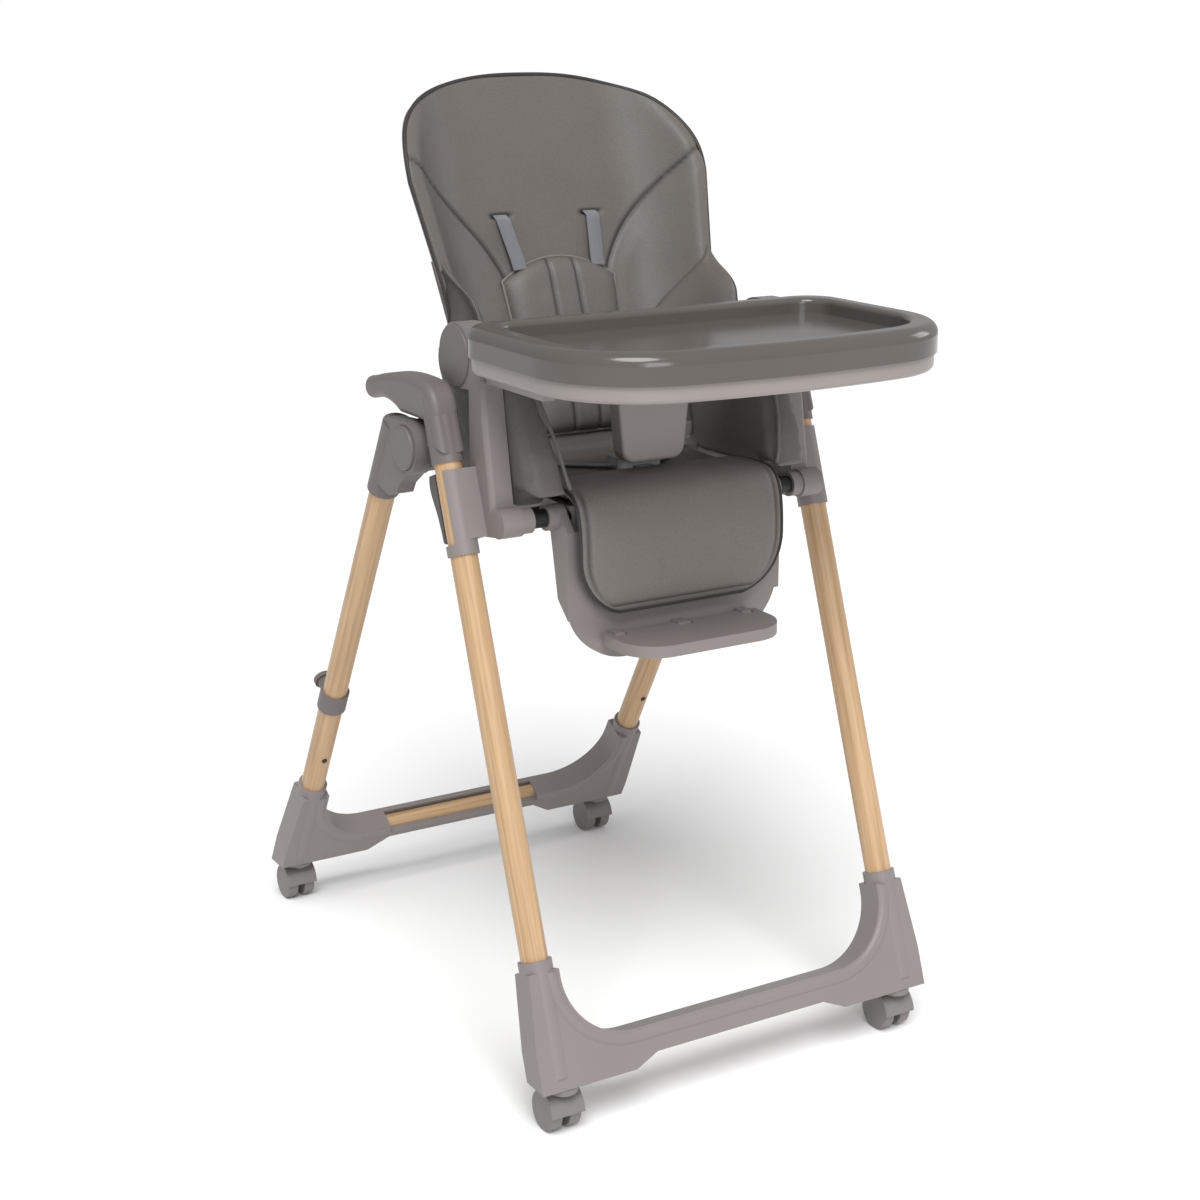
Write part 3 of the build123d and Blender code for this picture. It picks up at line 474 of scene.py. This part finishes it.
def sweep_share(x, v):
    """How far out x is between the flat middle (0) and the side (about 1)."""
    side = back_half_width(min(v, WIDEST_V)) - FLAT_HALF_WIDTH
    out = abs(x) - FLAT_HALF_WIDTH
    return 0.5 * (out + math.hypot(out, SWEEP_START_BLEND)) / side


def swept_height(x, v, limit):
    """Height of the surface that sweeps forward at the sides, up to this limit."""
    return smooth_min(SWEEP_HEIGHT * sweep_share(x, v) ** SWEEP_POWER, limit, EDGE_SOFTNESS)


def seam_distance(x, v):
    """Distance to the bolster's seam, an arc that reaches the rim high up; positive on the bolster."""
    rise = max(0.0, (v - SEAM_TURN_V) / SEAM_RISE)
    slope = 2 * SEAM_SPREAD / SEAM_RISE * rise
    return (abs(x) - SEAM_X - SEAM_SPREAD * rise ** 2) / math.hypot(1, slope)


def back_height(x, v):
    """Height of the cover's front before its seams are drawn in."""
    return swept_height(x, v, rounded(RIM, v, 22))


def cover_point(x, v):
    """Height of the cover's front, and the painted shade in its seam groove and strap slots."""
    height = back_height(x, v)
    gap = seam_distance(x, v)
    fade = smooth_step(366, 348, v) * smooth_step(60, 120, v)
    raised = 3.2 * smooth_step(0, 26, gap)
    groove = 3.0 * math.exp(-(gap / 3.2) ** 2)
    height += fade * (raised - groove)
    # Painted shade along the seam's groove.
    seam = 0.9 * fade * math.exp(-(gap / 2.1) ** 2)
    for side in (-1, 1):
        slot = math.exp(-(((x - SLOT_X * side) / 14) ** 4) - ((v - SLOT_V) / 3.2) ** 4)
        height -= 5 * slot
        # Painted shade fills each strap slot's dip.
        seam = max(seam, slot)
    wander = noise.noise(Vector((x / 46, v / 60, 3.7)))
    return height + 1.1 * wander, seam


def backrest_cover():
    """Padded cover of the backrest, front and back, with piping round its rim."""
    sheet = Sheet()
    rounds, lines, arc_steps = 130, 165, 150
    shares = [i / rounds for i in range(rounds + 1)]
    up = [FOOT_V + (WIDEST_V - FOOT_V) * i / lines for i in range(lines)]
    turns = [math.pi * i / arc_steps for i in range(arc_steps + 1)]
    power = 2 / ROUNDNESS

    def line(share, place):
        """One line round the cover, at this share of the way out, with every point made by place(x, v)."""
        row = [place(share * back_half_width(v), v) for v in up]
        for turn in turns:
            across = math.copysign(abs(math.cos(turn)) ** power, math.cos(turn))
            above = (TOP_V - WIDEST_V) * math.sin(turn) ** power
            row.append(place(share * HALF_WIDTH * across, WIDEST_V + share * above))
        return row + [place(-share * back_half_width(v), v) for v in reversed(up)]

    def front(x, v):
        height, seam = cover_point(x, v)
        return sheet.point(back_place(x, v, height), seam)

    def edge(drop):
        def place(x, v):
            # The cover's edge rows get a little painted shade.
            return sheet.point(back_place(x, v, back_height(x, v) - drop), 0.2)
        return place

    def back(x, v):
        shell = -27 + 86 * sweep_share(x, v) ** 1.6
        return sheet.point(back_place(x, v, min(back_height(x, v) - 9, shell)))

    def rim(x, v):
        return back_place(x, v, back_height(x, v) - 1.5)

    rows = [line(share * 0.985, front) for share in shares]
    rows += [line(0.995, edge(2.5)), line(0.985, edge(7))]
    rows += [line(share * 0.97, back) for share in reversed(shares[::4])]
    sheet.grid(rows)
    for end in (0, -1):
        sheet.faces.append(tuple(row[end] for row in rows))
        sheet.slots.append(0)
    bare = 45  # points at either foot that the piping leaves out
    sheet.tube(line(0.992, rim)[bare:-bare], 2.6)
    cover = sheet.build("backrest_cover", [LEATHER, PIPING])
    fit_cover(cover, "backrest_cushion", "backrest")


def wing_pad(side, name):
    """Low side pad of the backrest, standing further forward towards the seat."""
    sheet = Sheet()
    steps = 44
    shares = [i / steps for i in range(steps + 1)]

    def outline(a, b):
        """x and v for shares of the way out and up the pad."""
        v = WING_FOOT_V + b * (WING_TOP_V - WING_FOOT_V)
        inner = 96 + 82 * smooth_step(-0.25, 1.1, b) ** 1.15
        outer = back_half_width(v) - 1 - 4 * b
        return inner + a * (outer - inner), v

    def flat_height(a, x, v):
        """Height without the padding: the bolster's, and more towards the seat and outwards."""
        return swept_height(x, v, 53) + 54 * smooth_step(WING_TOP_V, WING_FORWARD_V, v) * a ** 2.2

    def place(a, b, x, v, height, seam):
        return sheet.point(back_place(side * x, v - 2 * (1 - a) * b, height), seam)

    def front(a, b):
        x, v = outline(a, b)
        bulge = (max(0.0, 1 - (2 * a - 1) ** 4) ** 0.5) * (max(0.0, 1 - b ** 7) ** 0.6)
        # Painted shade grows towards the pad's edges, where the bulge falls off.
        return place(a, b, x, v, flat_height(a, x, v) + 13 * bulge, 0.75 * (1 - bulge) ** 3)

    def back(a, b):
        x, v = outline(a, b)
        return place(a, b, x + 2 * a ** 2, v, min(flat_height(a, x, v) - 4, 42), 0.0)

    rows = [[front(a, b) for a in shares] for b in shares]
    under = [[back(a, b) for a in shares] for b in shares]
    close_pad(sheet, rows, under)
    sheet.tube(sheet.places(rows[-1][::-1] + [row[0] for row in rows[-2::-1]]), 1.7)
    sheet.tube(sheet.places([row[-1] for row in rows]), 2.0)
    pad = sheet.build(f"backrest_wing_{name}", [LEATHER, PIPING])
    fit_cover(pad, "backrest_wings", "backrest")


def insert_pad():
    """Small arched pad on the backrest, sewn into three channels."""
    sheet = Sheet()
    columns, lines = 72, 64
    across = [2 * i / columns - 1 for i in range(columns + 1)]
    along = [j / lines for j in range(lines + 1)]

    def place(a, b, lift, sink, channel_shade):
        """A point at a (-1 to 1) across and b up; the last argument is how strongly painted shade darkens
        the channels' stitched grooves.
        """
        top = INSERT_TOP_V - 26 * a * a
        v = INSERT_FOOT_V + b * (top - INSERT_FOOT_V)
        x = a * (INSERT_HALF_WIDTH + 16 * b ** 0.8)
        plump = (max(0.0, 1 - a ** 6) ** 0.5) * (max(0.0, 1 - (2 * b - 1) ** 10) ** 0.5)
        height = 1.2 + lift * plump
        seam = 0.0
        for channel in (-CHANNEL_X, CHANNEL_X):
            height -= 0.22 * lift * plump * math.exp(-((x - channel) / 3.0) ** 2)
            # Painted shade in the channels' grooves.
            seam = max(seam, channel_shade * math.exp(-((x - channel) / 1.7) ** 2))
        height += 0.8 * plump * noise.noise(Vector((x / 22, v / 30, 9.1)))
        return sheet.point(back_place(x, v, height - sink), seam)

    rows = [[place(a, b, 17.5, 0, 0.85) for a in across] for b in along]
    under = [[place(a, b, 0.5, 0.9, 0) for a in across] for b in along]
    around = close_pad(sheet, rows, under)
    sheet.tube([spot + 2.5 * BACK_FRONT for spot in sheet.places(around)], 1.8, closed=True)
    pad = sheet.build("insert_cover", [LEATHER, LIGHT_PIPING])
    fit_cover(pad, "insert_pad", "backrest")


# ---------------------------------------------------------------- straps
def strap(name, path_mm, width_mm, level, material, body, node):
    """Flat webbing along a short path. level is the direction out of its face."""
    sheet = Sheet()
    count, half_thick_mm = 24, 0.9
    # The section's corners, as shares of the width and of half the thickness.
    section = ((-0.5, 0.1), (-0.46, 1), (0.46, 1), (0.5, 0.1), (0.46, -0.8), (-0.46, -0.8))
    line = straight_steps([Vector(p) for p in path_mm], count)
    rows = []
    for i, centre in enumerate(line):
        along = (line[min(i + 1, count)] - line[max(i - 1, 0)]).normalized()
        across = along.cross(Vector(level)).normalized()
        up = across.cross(along)
        rows.append([sheet.point(centre + width_mm * s * across + half_thick_mm * h * up)
                     for s, h in section])
    sheet.grid(rows, closed=True)
    sheet.faces += [tuple(rows[0]), tuple(reversed(rows[-1]))]
    sheet.slots += [0, 0]
    piece = sheet.build(name, [material])
    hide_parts(node)
    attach(piece, body)


def shoulder_straps():
    """Two straps from their slots down to the insert pad."""
    course = ((SLOT_X, SLOT_V + 2, -3), (SLOT_X, SLOT_V - 5, 4), (53, 246, 9), (52, 234, 10))
    for side, name in SIDES:
        path = [back_place(side * x, v, w) for x, v, w in course]
        strap(f"shoulder_strap_{name}", path, 18, BACK_FRONT, STRAP, "backrest", "shoulder_straps")


def lap_and_crotch_straps():
    """Straps flat on the seat, towards the buckle from both sides and from the front."""
    up = (0, 0, 1)
    course = ((118, -16, 660), (80, -50, 661.5), (36, -91, 663), (24, -100, 664))
    for side, name in SIDES:
        path = [(side * x, y, z) for x, y, z in course]
        strap(f"lap_strap_{name}", path, 20, up, LAP_WEB, "seat", "lap_straps")
    path = [(0, -160, 661), (0, -135, 662), (0, -114, 663)]
    strap("crotch_web", path, 25, up, LAP_WEB, "seat", "crotch_strap")


# ---------------------------------------------------------------- simulated cushions
def bake_modifiers(piece):
    """Replaces the piece's mesh by its evaluated one."""
    evaluated = piece.evaluated_get(bpy.context.evaluated_depsgraph_get())
    mesh = bpy.data.meshes.new_from_object(evaluated)
    piece.modifiers.clear()
    piece.data = mesh


def even_mesh(piece, shrink):
    """Gives a plain solid an even, softened mesh, a little inside its old surface."""
    work = bmesh.new()
    work.from_mesh(piece.data)
    bmesh.ops.remove_doubles(work, verts=work.verts, dist=1e-6)
    work.to_mesh(piece.data)
    work.free()
    remesh = piece.modifiers.new("remesh", "REMESH")
    remesh.mode = "VOXEL"
    remesh.voxel_size = VOXEL
    bake_modifiers(piece)
    for _ in range(3):
        smooth = piece.modifiers.new("smooth", "SMOOTH")
        smooth.factor = 0.5
        smooth.iterations = 4
    bake_modifiers(piece)
    normals = [v.normal.copy() for v in piece.data.vertices]
    for vertex, normal in zip(piece.data.vertices, normals):
        vertex.co -= shrink * normal


def inflate(piece, cap):
    """Lets the piece swell as cloth under pressure, with a cap on how far any point moves."""
    rest = [v.co.copy() for v in piece.data.vertices]
    cloth = piece.modifiers.new("cloth", "CLOTH")
    cloth.settings.use_pressure = True
    cloth.settings.uniform_pressure_force = PRESSURE
    cloth.settings.quality = 5
    cloth.settings.effector_weights.gravity = 0
    cloth.point_cache.frame_start = 1
    cloth.point_cache.frame_end = CLOTH_STEPS
    for step in range(1, CLOTH_STEPS + 1):
        bpy.context.scene.frame_set(step)
    bake_modifiers(piece)
    bpy.context.scene.frame_set(1)
    for vertex, start in zip(piece.data.vertices, rest):
        move = vertex.co - start
        if move.length > cap:
            vertex.co = start + move * (cap / move.length)


def refine(piece):
    """Subdivides the piece once and shades it smooth."""
    subdivide = piece.modifiers.new("subdivide", "SUBSURF")
    subdivide.levels = 1
    subdivide.render_levels = 1
    bake_modifiers(piece)
    for polygon in piece.data.polygons:
        polygon.use_smooth = True


def cushion_from(node, name, stretch, held, shrink, cap):
    """A simulated seat cushion in place of a plain CAD solid, stretched away from the held point (in mm)."""
    piece = bpy.data.objects.new(name, NODES[node].data.copy())
    bpy.context.scene.collection.objects.link(piece)
    for vertex in piece.data.vertices:
        vertex.co = Vector(h + (c - h) * k for c, h, k in zip(vertex.co, Vector(held) * MM, stretch))
    even_mesh(piece, shrink)
    inflate(piece, cap)
    refine(piece)
    piece.data.materials.clear()
    piece.data.materials.append(LEATHER)
    fit_cover(piece, node, "seat")


def seat_cushion():
    """Seat cushion, a little wider than the CAD's."""
    cushion_from("seat_cushion", "seat_cover", (1.03, 1, 1), (0, 0, 0), shrink=0.003, cap=0.004)


def side_pads():
    """Flank pads, pulled down to the seat, each with piping along its inner front edge."""
    front = ((133, -187, 664), (137, -184, 678), (143, -174, 713), (149, -153, 749), (154, -133, 786))
    for side, name in SIDES:
        cushion_from(f"seat_side_pad_{name}", f"side_pad_cover_{name}", (1, 1.03, 1.12), (0, -80, 790),
                     shrink=0.001, cap=0.005)
        sheet = Sheet()
        sheet.tube([(side * x, y, z) for x, y, z in front], 2.2, slot=0)
        piping = sheet.build(f"side_pad_piping_{name}", [LEATHER])
        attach(piping, "seat")


def seat_back_flap():
    """Cover between the seat and the backrest."""
    sheet = Sheet()
    lines, columns = 30, 60
    rows, under = [], []
    for i, (y, z, half) in enumerate(straight_steps([Vector(p) for p in FLAP_PATH], lines)):
        row, low = [], []
        for j in range(columns + 1):
            a = 2 * j / columns - 1
            curl = 22 * smooth_step(0.72, 1.0, abs(a)) * i / lines
            crease = 1.2 * noise.noise(Vector((a * 5, i / 7, 4.2)))
            row.append(sheet.point((a * half, y - curl, z + 1 + crease)))
            low.append(sheet.point((a * half, y - curl + 3 * i / lines, z - 6)))
        rows.append(row)
        under.append(low)
    close_pad(sheet, rows, under)
    flap = sheet.build("seat_back_flap", [LEATHER])
    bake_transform(flap)


# ---------------------------------------------------------------- legrest cover
def leg_half_width(z):
    """Half the cover's width: even, then drawn in by the round lower corners."""
    drop = min(max(0.0, LEG_CORNER_Z - z), LEG_CORNER)
    return LEG_HALF_WIDTH - LEG_CORNER + math.sqrt(LEG_CORNER ** 2 - drop ** 2)


def leg_cover():
    """One padded cover from the seat's front edge down the legrest, round at its lower corners."""
    sheet = Sheet()
    lines, columns = 90, 60
    # Lines up to this one lie too high for the lower edge's welt, so that edge counts as far away.
    last_high, far_away = 50, 99
    spine = curved_steps([Vector((0, y, z)) for y, z in LEG_PATH], lines)
    rows, under = [], []
    for i, centre in enumerate(spine):
        along = (spine[min(i + 1, lines)] - spine[max(i - 1, 0)]).normalized()
        out = Vector((0, along.z, -along.y))
        half = leg_half_width(centre.z)
        above_foot = max(0.0, centre.z - LEG_FOOT_Z) * 1.1 if i > last_high else far_away
        ends = min(1.0, i / 5, (lines - i) / 5)
        row, low = [], []
        for j in range(columns + 1):
            a = 2 * j / columns - 1
            gap = min((1 - abs(a)) * half, above_foot)
            plump = (1 - math.exp(-gap / WELT_INSET)) * ends ** 0.5
            welt = math.exp(-((gap - WELT_INSET) / 1.7) ** 2) * smooth_step(20, 34, i)
            lift = 5.0 * plump - 1.6 * welt - 2.5
            lift += 0.7 * plump * noise.noise(Vector((a * 4, centre.z / 35, 1.3)))
            # The welt's groove gets painted shade.
            row.append(sheet.point(centre + Vector((a * half, 0, 0)) + lift * out, 0.75 * welt))
            low.append(sheet.point(centre + Vector((a * half * 0.99, 0, 0)) - 9 * out))
        rows.append(row)
        under.append(low)
    close_pad(sheet, rows, under)
    edge = [row[0] for row in rows] + rows[-1][1:] + [row[-1] for row in rows[-2::-1]]
    sheet.tube(sheet.places(edge), 2.0)
    cover = sheet.build("legrest_cover", [LIT_LEG_LEATHER, PIPING])
    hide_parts("legrest_cushion")
    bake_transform(cover)


# ---------------------------------------------------------------- stage
def white_floor():
    """Large flat floor, almost white."""
    sheet = Sheet()
    cell = 2 * FLOOR_HALF_MM / FLOOR_CELLS
    marks = [-FLOOR_HALF_MM + cell * i for i in range(FLOOR_CELLS + 1)]
    sheet.grid([[sheet.point((x, y, 0)) for x in marks] for y in marks])
    n = Nodes("floor_white")
    n.shader.inputs["Specular IOR Level"].default_value = 0.1
    tone = n.mix(n.spread(n.noise(2, 2), 0.0, 1.0), (0.90, 0.90, 0.90, 1), (0.92, 0.92, 0.92, 1))
    floor = sheet.build("floor", [n.finish(tone, n.spread(n.noise(8, 2), 0.8, 0.9))])


def studio_world():
    """White where the camera sees it and a dimmer white as light, shown without tone mapping."""
    world = bpy.data.worlds.new("studio")
    world.use_nodes = True
    tree = world.node_tree
    seen, cast = tree.nodes["Background"], tree.nodes.new("ShaderNodeBackground")
    seen.inputs["Color"].default_value = (1, 1, 1, 1)
    cast.inputs["Color"].default_value = (1, 1, 1, 1)
    cast.inputs["Strength"].default_value = WORLD_STRENGTH
    ray, mixer = tree.nodes.new("ShaderNodeLightPath"), tree.nodes.new("ShaderNodeMixShader")
    tree.links.new(ray.outputs["Is Camera Ray"], mixer.inputs["Fac"])
    tree.links.new(cast.outputs["Background"], mixer.inputs[1])
    tree.links.new(seen.outputs["Background"], mixer.inputs[2])
    tree.links.new(mixer.outputs["Shader"], tree.nodes["World Output"].inputs["Surface"])
    bpy.context.scene.world = world
    bpy.context.scene.view_settings.view_transform = "Standard"


def aim_along(piece, direction):
    """Turns a light or camera so that it looks in this direction, level at its sides."""
    piece.rotation_euler = direction.to_track_quat("-Z", "Y").to_euler()


def sun():
    """Soft key light from the front left, above."""
    lamp = bpy.data.lights.new("sun", "SUN")
    lamp.energy = SUN_STRENGTH
    lamp.angle = SUN_SPREAD
    piece = bpy.data.objects.new("sun", lamp)
    aim_along(piece, Vector((0.45, 0.75, -1.25)))
    bpy.context.scene.collection.objects.link(piece)


def area_light(name, place, aim, size, power):
    """Square soft light at this place, aimed at a point."""
    lamp = bpy.data.lights.new(name, "AREA")
    lamp.energy = power
    lamp.size = size
    piece = bpy.data.objects.new(name, lamp)
    piece.location = place
    aim_along(piece, Vector(aim) - Vector(place))
    bpy.context.scene.collection.objects.link(piece)


def lights():
    sun()
    area_light("front_strip", (-0.6, -3.2, 1.5), (0, 0, 0.8), 1.2, 22)
    area_light("side_strip", (3.0, -0.6, 1.8), (0, 0, 0.7), 1.2, 14)


def camera():
    """Camera slightly above, in front and to the left."""
    piece = bpy.data.objects.new("camera", bpy.data.cameras.new("camera"))
    piece.data.lens = LENS_MM
    piece.data.sensor_width = 36
    piece.data.clip_end = 100
    piece.location = CAMERA_PLACE
    aim_along(piece, Vector(CAMERA_AIM) - Vector(CAMERA_PLACE))
    bpy.context.scene.collection.objects.link(piece)
    bpy.context.scene.camera = piece


def main():
    dress_frame()
    backrest_cover()
    for side, name in SIDES:
        wing_pad(side, name)
    insert_pad()
    shoulder_straps()
    lap_and_crotch_straps()
    seat_cushion()
    side_pads()
    seat_back_flap()
    leg_cover()
    white_floor()
    studio_world()
    lights()
    camera()


main()
